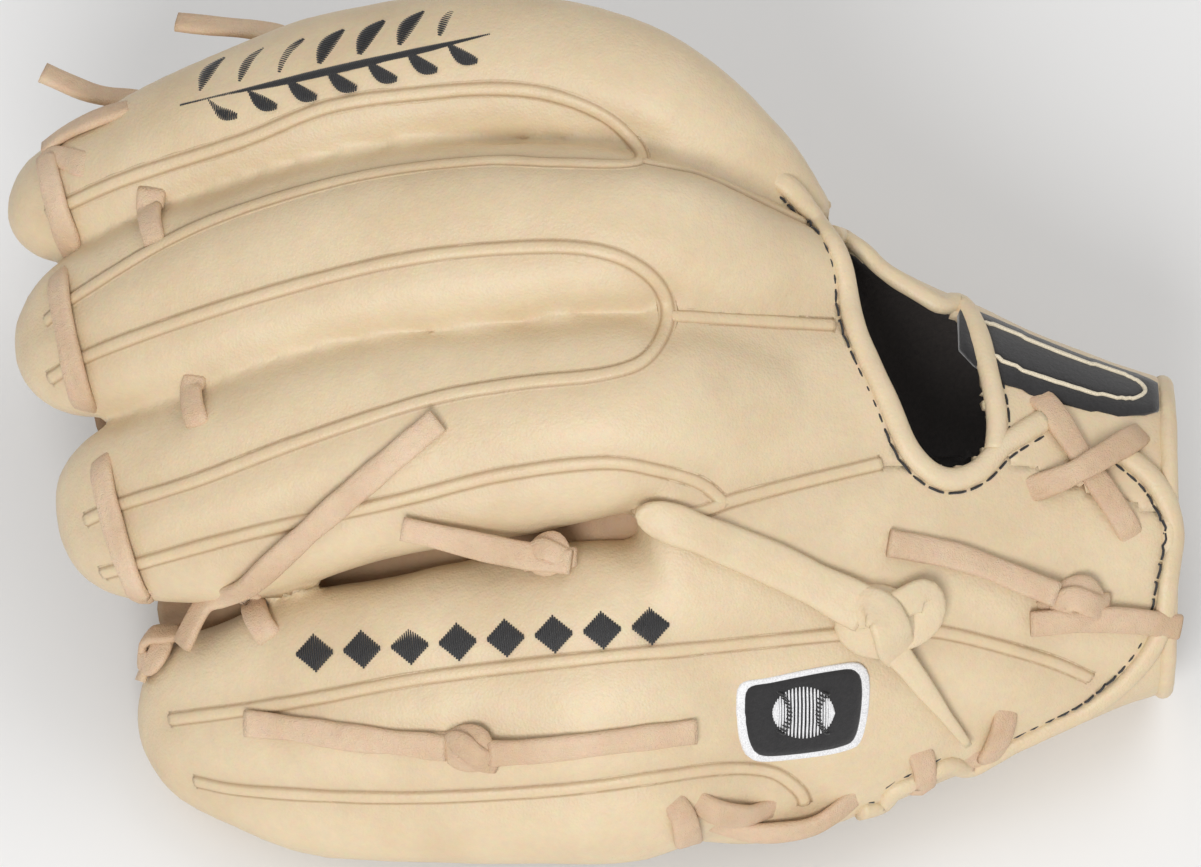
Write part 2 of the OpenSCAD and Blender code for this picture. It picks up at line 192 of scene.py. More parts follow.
def leather(name, light, mid, painted_shade_colour, rough=0.46, grain=0.25, pores=1500.0, soft=0.06):
    """Grained leather with slow patches of colour, and painted shade that makes it browner in its creases."""
    m, n, link, bsdf = nodes_of(name)
    place = n.new("ShaderNodeTexCoord")
    patches = add(n, "ShaderNodeTexNoise", Scale=38.0, Detail=5.0, Roughness=0.6)
    fine = add(n, "ShaderNodeTexNoise", Scale=420.0, Detail=6.0, Roughness=0.7)
    cells = add(n, "ShaderNodeTexVoronoi", Scale=pores, feature="SMOOTH_F1", Smoothness=0.4)
    # painted shade: a per-vertex amount mixes the colour towards the dark brown along seams and in hollows
    painted_shade = add(n, "ShaderNodeAttribute", attribute_name="painted_shade")
    ramp = n.new("ShaderNodeValToRGB")
    ramp.color_ramp.elements[0].position, ramp.color_ramp.elements[0].color = 0.33, (*mid, 1)
    ramp.color_ramp.elements[1].position, ramp.color_ramp.elements[1].color = 0.66, (*light, 1)
    mix = add(n, "ShaderNodeMix", data_type="RGBA")
    mix.inputs[7].default_value = (*painted_shade_colour, 1)
    speck = add(n, "ShaderNodeMix", data_type="RGBA", blend_type="MULTIPLY")
    speck.inputs[0].default_value = 0.22
    for t in (patches, fine, cells):
        link.new(place.outputs["Object"], t.inputs["Vector"])
    link.new(patches.outputs["Fac"], ramp.inputs["Fac"])
    link.new(ramp.outputs["Color"], mix.inputs[6])
    link.new(painted_shade.outputs["Fac"], mix.inputs[0])
    link.new(mix.outputs[2], speck.inputs[6])
    link.new(fine.outputs["Color"], speck.inputs[7])
    link.new(speck.outputs[2], bsdf.inputs["Base Color"])
    rough_map = add(n, "ShaderNodeMapRange")
    rough_map.inputs["To Min"].default_value = rough - 0.08
    rough_map.inputs["To Max"].default_value = rough + 0.12
    link.new(fine.outputs["Fac"], rough_map.inputs["Value"])
    link.new(rough_map.outputs[0], bsdf.inputs["Roughness"])
    bump1 = add(n, "ShaderNodeBump", Strength=grain, Distance=0.00035)
    bump2 = add(n, "ShaderNodeBump", Strength=grain * 1.3, Distance=0.0006)
    link.new(cells.outputs["Distance"], bump1.inputs["Height"])
    link.new(fine.outputs["Fac"], bump2.inputs["Height"])
    link.new(bump1.outputs["Normal"], bump2.inputs["Normal"])
    link.new(bump2.outputs["Normal"], bsdf.inputs["Normal"])
    bsdf.inputs["Subsurface Weight"].default_value = soft
    bsdf.inputs["Subsurface Radius"].default_value = (0.004, 0.002, 0.001)
    bsdf.inputs["Coat Weight"].default_value = 0.06
    bsdf.inputs["Coat Roughness"].default_value = 0.4
    return m


def cloth(name, colour, rough=0.8, scale=900.0, strength=0.5, sheen=0.3):
    """Felt, lining or thread: fuzzy, with a fine uneven colour."""
    m, n, link, bsdf = nodes_of(name)
    place = n.new("ShaderNodeTexCoord")
    fuzz = add(n, "ShaderNodeTexNoise", Scale=scale, Detail=5.0, Roughness=0.75)
    ramp = n.new("ShaderNodeValToRGB")
    ramp.color_ramp.elements[0].position, ramp.color_ramp.elements[0].color = 0.3, (*[c * 0.6
            for c in colour], 1)
    ramp.color_ramp.elements[1].position, ramp.color_ramp.elements[1].color = 0.7, (*[min(c * 1.25, 1)
            for c in colour], 1)
    bump = add(n, "ShaderNodeBump", Strength=strength, Distance=0.0004)
    link.new(place.outputs["Object"], fuzz.inputs["Vector"])
    link.new(fuzz.outputs["Fac"], ramp.inputs["Fac"])
    link.new(ramp.outputs["Color"], bsdf.inputs["Base Color"])
    link.new(fuzz.outputs["Fac"], bump.inputs["Height"])
    link.new(bump.outputs["Normal"], bsdf.inputs["Normal"])
    bsdf.inputs["Roughness"].default_value = rough
    bsdf.inputs["Sheen Weight"].default_value = sheen
    return m


SHELL = leather("shell_leather", (0.78, 0.63, 0.42), (0.73, 0.57, 0.365), (0.40, 0.23, 0.11))
PALM = leather("palm_leather", (0.74, 0.59, 0.39), (0.67, 0.51, 0.32), (0.30, 0.18, 0.09), rough=0.5)
WELT = leather("welt_leather", (0.76, 0.60, 0.39), (0.70, 0.53, 0.33), (0.42, 0.26, 0.13), rough=0.42)
RAWHIDE = leather("rawhide_lace", (0.78, 0.58, 0.40), (0.63, 0.43, 0.27), (0.36, 0.22, 0.12), rough=0.62,
                  grain=0.5, pores=2600.0)
LINING = cloth("lining", (0.028, 0.021, 0.018), rough=0.75)
FELT = cloth("black_felt", (0.016, 0.015, 0.016), rough=0.92, sheen=0.5)
BLACK = cloth("black_thread", (0.012, 0.011, 0.012), rough=0.5, scale=3000.0, strength=0.2)
CREAM = cloth("cream_thread", (0.80, 0.70, 0.52), rough=0.55, scale=3000.0, strength=0.2)
WHITE = cloth("white_thread", (0.82, 0.81, 0.84), rough=0.5, scale=3000.0, strength=0.2)


# ---------- making objects ----------
def obj_of(name, data, material, body=None, painted_shade=None, smooth=True, lay=True):
    verts, faces = data
    mesh = bpy.data.meshes.new(name)
    mesh.from_pydata([tuple(v) for v in verts], [], [tuple(f) for f in faces])
    # painted shade amount per vertex, which the leather's shader turns into a darker brown
    if painted_shade is not None:
        attribute = mesh.attributes.new("painted_shade", "FLOAT", "POINT")
        attribute.data.foreach_set("value", np.asarray(painted_shade, np.float32))
    for m in material if isinstance(material, list) else [material]:
        mesh.materials.append(m)
    if lay:
        mesh.transform(LAY)
    mesh.polygons.foreach_set("use_smooth", [smooth] * len(mesh.polygons))
    mesh.update()
    o = bpy.data.objects.new(name, mesh)
    bpy.context.scene.collection.objects.link(o)
    if body:
        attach(o, body)
    return o


def baked(o):
    """The object's mesh with its modifiers applied, in place."""
    depsgraph = bpy.context.evaluated_depsgraph_get()
    mesh = bpy.data.meshes.new_from_object(o.evaluated_get(depsgraph))
    o.modifiers.clear()
    o.data = mesh
    return o


def skin(parts):
    """One even skin round overlapping solids, as arrays of vertices and quads in the hand frame."""
    o = obj_of("skin_work", joined(parts), [], lay=False)
    mod = o.modifiers.new("union", "REMESH")
    mod.mode, mod.voxel_size, mod.adaptivity = "VOXEL", VOXEL, 0
    soft = o.modifiers.new("soft", "SMOOTH")
    soft.factor, soft.iterations = 0.5, SOFTENING
    baked(o)
    v = np.array([x.co for x in o.data.vertices], float)
    f = [tuple(p.vertices) for p in o.data.polygons]
    bpy.data.objects.remove(o)
    return v, f


def normals_of(v, f):
    """The directions of a skin at its vertices and at its faces."""
    q = np.array([x if len(x) == 4 else (*x, x[-1]) for x in f])
    n = np.cross(v[q[:, 2]] - v[q[:, 0]], v[q[:, 3]] - v[q[:, 1]])
    out = np.zeros_like(v)
    for k in range(4):
        np.add.at(out, q[:, k], n)
    return out / np.maximum(np.linalg.norm(out, axis=1, keepdims=True),
                            1e-9), n / np.maximum(np.linalg.norm(n, axis=1, keepdims=True), 1e-9)


# ---------- the shell ----------
BACK = {  # welted seams on the back of the glove, seen from above: x, y
    "index_middle": [(-134, 53), (-115, 61), (-86, 70), (-65, 78), (-43, 81), (-24, 82), (-10, 80), (3, 74),
                     (9.5, 65), (-10, 64.5),
                     (-29, 65), (-60, 61), (-96, 50), (-125, 34), (-134, 27)],
    "index_stem": [(10, 65), (24, 62), (38, 56), (49, 51)],
    "middle_ring": [(-133, 13), (-120, 20), (-84, 32), (-48, 41), (-19, 44), (0, 43), (12, 37), (16, 28),
                    (11, 18), (0, 14), (-19, 12),
                    (-41, 8), (-72, -2), (-96, -11), (-115, -17), (-124, -21)],
    "middle_stem": [(16, 28), (36, 27), (56, 26)],
    "ring_side": [(-120, -34), (-113, -32), (-84, -24), (-48, -16), (-24, -10), (0, -7), (14, -9),
                  (24, -12), (30, -17)],
    "ring_stem": [(8, -19), (22, -19), (31, -16), (46, -12), (67, -7)],
    "pinky_mid": [(-104, -69), (-84, -66), (-67, -63), (-41, -58), (0, -53), (24, -51), (55, -48),
                  (72, -47), (84, -48), (106, -54), (118, -59)],
    "pinky_low": [(-98, -84), (-84, -86), (-48, -87), (-12, -85), (12, -82), (29, -80), (41, -81),
                  (48, -86), (49, -89)],
}
HOLE = [(50, 55), (57, 43), (61, 25), (69, 8), (75, -4), (82, -9), (89, -8), (93, -3), (92, 15), (86, 29),
        (73, 38), (60, 45)]
SPLIT = [(-125, -50), (-105, -47), (-96, -43), (-72, -37.5), (-48, -33), (-24, -27.5), (0, -22), (8, -19),
         (22, -19), (31, -16), (46, -12), (67, -7), (96, -6), (142, -22)]


def inside(x, y, outline):
    """Which of the points (x, y) are inside an outline."""
    hit = np.zeros(len(x), bool)
    for (x0, y0), (x1, y1) in zip(outline, outline[1:] + outline[:1]):
        crossing = (y0 > y) != (y1 > y)
        hit ^= crossing & (x < (x1 - x0) * (y - y0) / ((y1 - y0) or 1e-9) + x0)
    return hit


fingers = [tube(DIGITS[d]) for d in ("index", "middle", "ring", "pinky")]
hand_v, hand_f = skin(fingers + [tube(HAND, upright=True, n=120, round_tip=False)])
surface = BVHTree.FromPolygons([Vector(v) for v in hand_v], hand_f)
BESIDE_Z = 100.0  # a point beside the hand is looked for at this height


def on_back(x, y, height=0.0):
    """The point of the back under (x, y), seen from above, and the surface's direction there."""
    hit, normal, _, _ = surface.ray_cast(Vector((x, y, 400)), Vector((0, 0, -1)))
    if hit is None:
        hit, normal, _, _ = surface.find_nearest(Vector((x, y, BESIDE_Z)))
    if normal.z < 0 and hit.z > 80:
        normal = -normal
    return np.array(hit) + np.array(normal) * height, np.array(normal)


def resting(x, y, height=0.0, reach=6.0):
    """A place on the back where something lies across a gap instead of dipping into it."""
    spots = [(on_back(x, y + d), abs(d)) for d in np.linspace(-reach, reach, 7)]
    z = max(p[2] - 0.25 * d for (p, _), d in spots)
    return np.array([x, y, z + height]), unit(sum(n for (_, n), _ in spots) + np.array([0, 0, 3.0]))


def track(points, height=0.0, step=1.0, smooth=2, find=on_back):
    """A route on the back through (x, y) or (x, y, height) points: places and directions."""
    flat = spline([(*p, 0) if len(p) == 2 else p for p in points], step)
    places, ups = zip(*[find(x, y, height + h) for x, y, h in flat])
    places, ups = np.array(places), np.array(ups)
    for _ in range(smooth):
        places[1:-1] = (places[:-2] + 2 * places[1:-1] + places[2:]) / 4
        ups[1:-1] = (ups[:-2] + 2 * ups[1:-1] + ups[2:]) / 4
    return places, ups / np.linalg.norm(ups, axis=1, keepdims=True)


seam_tracks = {name: track(points) for name, points in BACK.items()}


def relief(v, n, tracks, puff=0.7, groove=0.55):
    """Leather pulled in along its seams and swollen between them: new vertices, and painted shade values that
    darken the seams and the sunken places.
    """
    points = np.vstack([t[0] for t in tracks])
    tree = KDTree(len(points))
    for i, p in enumerate(points):
        tree.insert(p, i)
    tree.balance()
    near = np.array([tree.find(p)[2] for p in v])
    low = np.array([noise.noise(Vector(p) * 0.035) + 0.5 * noise.noise(Vector(p) * 0.09 + Vector((5, 1, 2)))
                    for p in v])
    fold = np.array([noise.noise(Vector((p[0] * 0.16, p[1] * 0.05, p[2] * 0.05)) + Vector((9, 0, 4)))
                     for p in v])
    away = 1 - np.exp(-((near / 6) ** 2))
    height = puff * (1 - np.exp(-((near / 8) ** 2))) - groove * np.exp(-((near / 4) ** 2)) + 0.55 * low * away
    height += 0.3 * fold * np.exp(-((near / 7) ** 2)) * away
    # the second value is painted shade: darkest beside the seams and where the low noise sinks the skin
    return v + n * height[:, None], 0.14 * np.exp(-((near / 5) ** 2)) + 0.2 * np.clip(-low, 0, 1) * away


hand_n, face_n = normals_of(hand_v, hand_f)
if (face_n[:, 2] * (np.array([hand_v[list(f)].mean(0)[2] for f in hand_f]) > 112)).sum() < 0:
    hand_f = [f[::-1] for f in hand_f]
    hand_n, face_n = normals_of(hand_v, hand_f)
# painted shade values along the seams and in the hollows of the back
shell_v, painted_shade = relief(hand_v, hand_n, list(seam_tracks.values()))
centre = np.array([hand_v[list(f)].mean(0) for f in hand_f])
opened = (inside(centre[:, 0], centre[:, 1], HOLE) & (face_n[:, 2] > 0.1)) | (centre[:, 0] > MOUTH_X)
split_x, split_y = zip(*SPLIT)
low_side = centre[:, 1] < np.interp(centre[:, 0], split_x, split_y)


def subset(v, f, keep, extra):
    """Only the faces to keep, with their vertices and those vertices' extra values."""
    used = sorted({i for k, face in enumerate(f) if keep[k] for i in face})
    index = {old: new for new, old in enumerate(used)}
    faces = [tuple(index[i] for i in face) for k, face in enumerate(f) if keep[k]]
    return (v[used], faces), extra[used]


def solid(o, thickness=LEATHER):
    """A skin given its leather's thickness, with a lining inside."""
    mod = o.modifiers.new("thick", "SOLIDIFY")
    mod.thickness, mod.offset, mod.use_even_offset = thickness * 0.001, -1, False
    mod.material_offset, mod.material_offset_rim = 1, 0
    return baked(o)


data, extra = subset(shell_v, hand_f, ~opened & ~low_side, painted_shade)
shell = obj_of("shell_hand", data, [SHELL, LINING], painted_shade=extra)
solid(shell)
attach(shell, "hand")
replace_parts(shell, "index_back", "middle_back", "ring_back", "index_front", "middle_front", "ring_front",
            "index_liner", "middle_liner",
            "ring_liner", "back_panel", "back_lining", "palm_panel", "palm_felt", "palm_lining",
            "wrist_strap", "heel_pad")
data, extra = subset(shell_v, hand_f, ~opened & low_side, painted_shade)
pinky_shell = obj_of("shell_little_finger", data, [SHELL, LINING], painted_shade=extra)
solid(pinky_shell)
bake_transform(pinky_shell)
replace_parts(pinky_shell, "pinky_back", "pinky_front", "pinky_liner", "pinky_stay")


# ---------- strips, laces and stitches ----------
THREAD = [(1, 0), (0.5, 0.87), (-0.5, 0.87), (-1, 0), (-0.5, -0.87), (0.5, -0.87)]  # a thread's section


def strip(places, ups, width, thick, shape=None, wobble=0.0, taper=None):
    """A strip of rounded section along places, its face towards ups; taper scales its width."""
    t = tangents(places)
    shape = shape or [(1, 0), (0.93, 0.6), (0.75, 0.93), (0.3, 1), (-0.3, 1), (-0.75, 0.93), (-0.93, 0.6),
                      (-1, 0), (-0.93, -0.6),
                      (-0.75, -0.93), (0.75, -0.93), (0.93, -0.6)]
    rings = []
    for i, (p, u, d) in enumerate(zip(places, ups, t)):
        side = unit(np.cross(u, d))
        up = np.cross(d, side)
        w = width / 2 * (1 + wobble * noise.noise(Vector(p) * 0.11)) * (1 if taper is None else taper[i])
        h = thick / 2 * (1 + wobble * noise.noise(Vector(p) * 0.17 + Vector((3, 3, 3))))
        rings.append([p + side * a * w + up * b * h for a, b in shape])
    return grid_solid(rings[::-1])


def stitches(places, ups, offset, length=2.4, gap=1.4, radius=0.33, lift=0.25):
    """A row of sewn stitches beside a route."""
    t = tangents(places)
    at = np.concatenate([[0], np.cumsum(np.linalg.norm(np.diff(places, axis=0), axis=1))])
    parts = []
    for s in np.arange(0.6, at[-1] - length, length + gap):
        pts = []
        for f in (0, 0.15, 0.5, 0.85, 1):
            q = s + f * length
            i = min(int(np.searchsorted(at, q)), len(places) - 1)
            side = unit(np.cross(ups[i], t[i]))
            rise = lift * math.sin(math.pi * f) + (0 if 0 < f < 1 else -0.4)
            pts.append(places[i] + side * offset + ups[i] * rise)
        pts = np.array(pts)
        parts.append(strip(pts, np.tile(unit(ups[min(i, len(ups) - 1)]), (5, 1)), radius * 2, radius * 2,
                           shape=THREAD))
    return joined(parts)


SEAM = [(1, -1.6), (0.8, -0.45), (0.62, -0.75), (0.52, 0.1), (0.35, 0.7), (0, 0.85), (-0.35, 0.7),
        (-0.52, 0.1), (-0.62, -0.75), (-0.8, -0.45), (-1, -1.6), (0, -2.2)]  # a seam's section
# painted shade across a seam's section: darkest in the fine groove on each side of the welt
SEAM_PAINTED_SHADE = [0, 0.12, 0.75, 0.3, 0, 0, 0, 0.3, 0.75, 0.12, 0, 0]


def welt(places, ups):
    """A sewn seam: a low flat welt with a fine groove on each side."""
    return strip(places - ups * 0.05, ups, 5.0, 1.0, shape=SEAM, wobble=0.06)


welt_groups = {"hand": [], "bend": []}
for name, (places, ups) in seam_tracks.items():
    group = "bend" if name.startswith("pinky") else "hand"
    welt_groups[group].append(welt(places, ups))
for group, label in (("hand", "hand"), ("bend", "little_finger")):
    seams = joined(welt_groups[group])
    o = obj_of(f"welts_{label}", seams, WELT, painted_shade=np.resize(SEAM_PAINTED_SHADE, len(seams[0])))
    if group == "hand":
        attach(o, "hand")
    else:
        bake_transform(o)

# ---------- inner leather seen between the fingers, coloured dark brown as painted shade ---
ROLL = [(math.cos(math.radians(a)), math.sin(math.radians(a))) for a in range(0, 360, 24)]
# painted shade: the inner leather is much darker than the palm leather, standing in for the shade in the gaps
GUSSET_PAINTED_SHADE = leather("inner_leather_painted_shade", (0.46, 0.30, 0.17), (0.36, 0.22, 0.12), (0.16, 0.09, 0.05), rough=0.6)


def gusset(name, valley, depth, width, bodies=None):
    """The palm side's leather at the bottom of the gap between two fingers; its dark brown is painted shade.
    """
    pts = spline([(x, y, z - depth) for x, y, z in valley], 2.0)
    ups = np.tile([0.0, 0.0, 1.0], (len(pts), 1))
    o = obj_of(name, strip(pts, ups, width, 9.0, shape=ROLL), GUSSET_PAINTED_SHADE)
    if bodies:
        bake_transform(o)
    else:
        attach(o, "hand")


gusset("gusset_index_middle", [(-122, 42, 80), (-96, 53, 92), (-60, 64, 103), (-24, 68, 109), (4, 66, 112)],
       10, 15)
gusset("gusset_middle_ring", [(-120, 3, 84), (-96, 9, 100), (-60, 20, 111), (-24, 24, 118), (8, 27, 121)],
       12, 15)
gusset("gusset_ring_pinky", [(-104, -47, 84), (-84, -40, 98), (-60, -34, 107), (-24, -27, 122),
                             (2, -20, 129), (14, -16.5, 129)], 13, 16, ("hand", "pinky"))

# ---------- rolled bindings ----------
BINDINGS = {
    "opening_left": [(41, 62, -4), (45, 59, -0.6), (51, 51, 0), (57, 41, 0), (60.5, 25), (68, 8), (74, -5),
                     (82, -11), (90, -9), (96, -3), (106, 3)],
    "opening_right": [(124, -4), (133, -12), (137, -22), (136, -33), (133, -50), (120, -64), (98, -75),
                      (79, -86), (62, -90)],
    "strap_edge": [(55, 47), (63, 46), (73, 41), (83, 34.5), (89, 27), (92.5, 15), (94.5, 4), (94, -4)],
}
binding_parts, binding_stitches = [], []
for name, points in BINDINGS.items():
    places, ups = track(points, height=0.9, smooth=4)
    binding_parts.append(strip(places, ups, 5.4, 4.2, shape=ROLL, wobble=0.12))
    side = {"opening_left": -3.3, "opening_right": -3.3, "strap_edge": 3.3}[name]
    binding_stitches.append(stitches(places - ups * 0.7, ups, side, length=3.4, gap=0.55, radius=0.34,
                                     lift=0.4))
mouth = section_ring(np.array([MOUTH_X - 0.3, *HAND[-1][1:]], float), np.array([1.0, 0, 0]), 120)
places, ups = zip(*[(np.array(h), np.array(q)) for h, q, _, _ in (surface.find_nearest(Vector(p))
        for p in mouth)])
places = np.array([(MOUTH_X - 0.1, *p[1:]) for p in places])
binding_parts.append(strip(np.vstack([places, places[:3]]), np.array(ups + ups[:3]), 4.6, 4.4, shape=ROLL,
                           wobble=0.1))
binding = obj_of("rolled_bindings", joined(binding_parts), SHELL, "hand")
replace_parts(binding, "opening_binding", "strap_binding")
obj_of("binding_stitches", joined(binding_stitches), BLACK, "hand")


# ---------- laces ----------
def lace(points, width=LACE_W, thick=LACE_T, step=1.2, twist=0.0, smooth=3, base=1.3, find=on_back,
         taper=None):
    """A flat lace through (x, y, height) points; taper gives its width from its share of the way."""
    places, ups = track(points, base, step, smooth, find)
    widths = None if taper is None else [taper(f) for f in np.linspace(0, 1, len(places))]
    if twist:
        t = tangents(places)
        for i in range(len(ups)):
            a = twist * math.sin(3.1 * i / len(ups))
            ups[i] = unit(ups[i] * math.cos(a) + np.cross(t[i], ups[i]) * math.sin(a))
    return places, ups, strip(places, ups, width, thick, wobble=0.16, taper=widths)


def knot(x, y, angle, size=1.0, lift=2.6, wide=0.92, find=on_back):
    """An overhand knot pulled tight: a lace that goes round and over itself."""
    c, up = find(x, y, lift)
    d = unit(np.array([math.cos(angle), math.sin(angle), 0]) - up * (up @ [math.cos(angle), math.sin(angle),
            0]))
    side = np.cross(up, d)
    loop = [(-8, 0, -1.5), (-4.6, 0.8, -0.4), (-0.6, 3.2, 0.4), (3.0, 2.8, 1.6), (3.8, -1.6, 1.8),
            (0.4, -3.6, 0.6), (-3.2, -2.6, 0.2), (-3.6, 1.2, 1.4),
            (-0.6, 1.6, 3.0), (2.2, -0.6, 3.6), (4.4, -2.4, 1.8), (7, -3.2, -0.6)]
    pts = spline([c + size * (d * a + side * b + up * h) for a, b, h in loop], 0.8)
    middle = c + up * 0.5
    ups = np.array([unit(0.6 * unit(p - middle) + 0.9 * up) for p in pts])
    return strip(pts, ups, LACE_W * wide * size, LACE_T * 0.9 * size, wobble=0.12)


fixed = {
    "fingertip_laces": [[(-135, 72, -3), (-134, 68, 0), (-131, 57, 0.4), (-128, 46, 0), (-128, 43, -3)],
                        [(-131, 40, -3), (-130, 36, 0), (-127, 22, 0.5), (-124, 8, 0), (-124, 5, -3)],
                        [(-120, -5, -3), (-119, -9, 0), (-115, -24, 0.5), (-110, -39, 0), (-109, -43, -3)],
                        [(-134, 68, 0.2), (-128, 72, 0.4), (-119, 76, 0.2), (-114, 79, -2)]],
    "crotch_laces": [[(-108, 58.5, -2), (-108, 57, 1), (-107.5, 53, 1.6), (-107, 48, 0.4), (-107, 46, -2)],
                     [(-97, 13.5, -2), (-97, 12, 1), (-96.5, 8, 1.6), (-96, 3.5, 0.4), (-96, 2, -2)],
                     [(-85, -37, -2), (-84, -38.5, 1), (-82.5, -42, 1.6), (-80, -47, 1), (-79, -49, -2)]],
    "cross_laces": [[(104, 10, -3), (107, 6, 0.2), (116, -8, 0.6), (125, -21, 0.3), (128, -26, -3)],
                    [(101, -14, -3), (110, -11, 2.2), (119, -6.5, 3), (127, -2, 1.2), (131, 1, -3)]],
    "heel_laces": [[(17, -87, -3), (19, -90, 0.6), (20, -95, 0.8), (22, -100, -2)],
                   [(22, -87, -3), (26, -89, 0.8), (34, -90, 1), (43, -90, -3)],
                   [(27, -93, -2), (36, -94, 1), (48, -93, 1.2), (55, -90, 0.8), (64, -86, -3)],
                   [(76, -74, -3), (77, -79, 0.8), (77, -86, 0.6), (77, -90, -2)],
                   [(98, -65, -3), (96, -69, 0.8), (93, -76, 0.8), (90, -82, -2)]],
}
for name, runs in fixed.items():
    o = obj_of(name, joined([lace(r)[2] for r in runs]), RAWHIDE, "hand")
    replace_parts(o, name)

KNOTS = {  # x, y, angle, size, width of the lace, material, body, how it finds its place
    "strap_knot": (65, -44, -0.45, 1.35, 1.15, SHELL, "hand", on_back),
    "ring_knot": (-12.5, -28.5, 0.3, 0.85, 0.92, RAWHIDE, "hand", resting),
    "tip_knot": (-105, -54, 0.7, 1.05, 0.92, RAWHIDE, "hand", on_back),
    "wrist_knot": (113, -40, 0.3, 1.05, 0.92, RAWHIDE, "hand", on_back),
    "pinky_knot": (-31, -74, 0.0, 1.0, 0.92, RAWHIDE, "pinky", on_back),
}
for name, (x, y, angle, size, wide, material, body, find) in KNOTS.items():
    tied = knot(x, y, angle, size=size, wide=wide, find=find)
    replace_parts(obj_of(f"{name}_tied", tied, material, body), name)


def strap_taper(f):
    """The strap's width: a round start, then a little wider towards its knot."""
    return math.sqrt(max(1 - max(1 - f / 0.09, 0) ** 2, 0.04)) * (0.78 + 0.22 * f)


STRAP = [(8.5, -18.5, 0.2), (13, -20, 0.4), (24, -24, 0.6), (41, -31, 0.8), (56, -38.5, 1.6), (63, -42, 2.6)]
STRAP_LOOP = [(62, -45, 2), (70, -40, 3.6), (76, -38, 3.4), (77, -43, 2.6), (72, -47, 2), (66, -47, 1.4)]
STRAP_END = [(65, -47, 2), (70, -52, 2.0), (78, -62, 1.8), (87, -73, 1.2)]
strap = lace(STRAP, width=11.5, thick=2.6, find=resting, smooth=8, taper=strap_taper)[2]
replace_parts(obj_of("pinky_strap", strap, SHELL, "hand"), "strap_band")
loop = lace(STRAP_LOOP, width=8.5, thick=2.8)[2]
end = lace(STRAP_END, width=7.5, thick=2.4, taper=lambda f: 1 - 0.7 * f)[2]
obj_of("strap_loop_end", joined([loop, end]), SHELL, "hand")


# ---------- the free lace ends ----------
def tail(name, node, points, body, width=LACE_W, twist=0.15, find=on_back):
    """A free lace end that lies on the back."""
    places, ups, data = lace(points, width=width, twist=twist, smooth=40, find=find)
    o = obj_of(name, data, RAWHIDE, body)
    if node:
        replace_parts(o, node)
    return o


tail("lace_tail_tip", "tip_tail", [(-102, -50, 4), (-96, -44.5, 5), (-84, -34.5, 3), (-72, -25, 1.6),
                                   (-55, -11, 1.2), (-38, 3, 0.8)], "hand")
tail("lace_tail_ring", "ring_tail", [(-7, -30.5, 2.5), (-12, -30, 2.5), (-18, -29, 2), (-26, -27.5, 1.4),
                                     (-36, -25, 0.8), (-47, -22.6, 0.6)], "hand", find=resting)
tail("lace_tail_pinky", "pinky_tail", [(-36, -74, 2), (-47, -73, 1), (-60, -72, 0.8), (-72, -70, 0.6),
                                       (-84, -69, 0.6)], "pinky")
o = tail("lace_tail_pinky_short", None, [(-26, -75, 2.4), (-19, -75, 2), (-8, -74, 1), (4, -72.5, 0.6),
                                         (13, -71.4, 0.5), (22, -70.4, 0.5)], None)
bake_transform(o)
tail("lace_tail_wrist_in", "wrist_tail_in", [(108, -38, 3), (102, -36, 2.4), (93, -32, 1.2), (84, -29, 0.8),
                                             (68, -26, 0.8)], "hand")
tail("lace_tail_wrist_out", "wrist_tail_out", [(102, -45, 1.6), (112, -44, 3), (121, -43.5, 2.4),
                                               (131, -44.5, 1.2), (137, -46, 1), (143, -47.5, 1)], "hand")


# ---------- thumb ----------
thumb_v, thumb_f = skin([tube(DIGITS["thumb"])])
thumb_n, _ = normals_of(thumb_v, thumb_f)
thumb_mid = spline(np.array(DIGITS["thumb"], float)[:, :3], 2.0)
if sum((thumb_n[i] @ (thumb_v[i] - thumb_mid[np.argmin(((thumb_mid - thumb_v[i]) ** 2).sum(1))]))
       for i in range(0, len(thumb_v), 97)) < 0:
    thumb_f = [f[::-1] for f in thumb_f]
    thumb_n, _ = normals_of(thumb_v, thumb_f)
thumb_surface = BVHTree.FromPolygons([Vector(v) for v in thumb_v], thumb_f)


def thumb_route(angle):
    """A route along the thumb's skin at one angle round it."""
    s = spline(np.array(DIGITS["thumb"], float), 2.0)[3:-4]
    t = tangents(s[:, :3])
    places, ups = [], []
    for c, d in zip(s, t):
        ring = section_ring(c, d, 72)
        hit, normal, _, _ = thumb_surface.find_nearest(Vector(ring[int(angle / 5) % 72]))
        places.append(np.array(hit))
        ups.append(np.array(normal))
    return np.array(places), np.array(ups)


thumb_tracks = [thumb_route(a) for a in (60, 120, 355)]
# the thumb's painted shade along its seams and in its hollows, as on the hand
thumb_v2, thumb_painted_shade = relief(thumb_v, thumb_n, thumb_tracks)
thumb = obj_of("shell_thumb", (thumb_v2, thumb_f), [SHELL], painted_shade=thumb_painted_shade)
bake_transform(thumb)
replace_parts(thumb, "thumb_back", "thumb_front", "thumb_liner", "thumb_stay")
seams = joined([welt(p, u) for p, u in thumb_tracks])
thumb_welts = obj_of("welts_thumb", seams, WELT, painted_shade=np.resize(SEAM_PAINTED_SHADE, len(seams[0])))
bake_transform(thumb_welts)


# ---------- web ----------
def web_at(x, f, off=0.0):
    """The point of the web at x, from the index finger (f = 0) to the thumb (f = 1)."""
    g = (x + 96) / 72
    top = np.array([x, 80 + 11 * g, 62 + 15 * g])
    low = np.array([x, 77 + 2 * g, 23 + 11 * g])
    return top + (low - top) * f + np.array([0, off + 7 * math.sin(math.pi * f), 0])


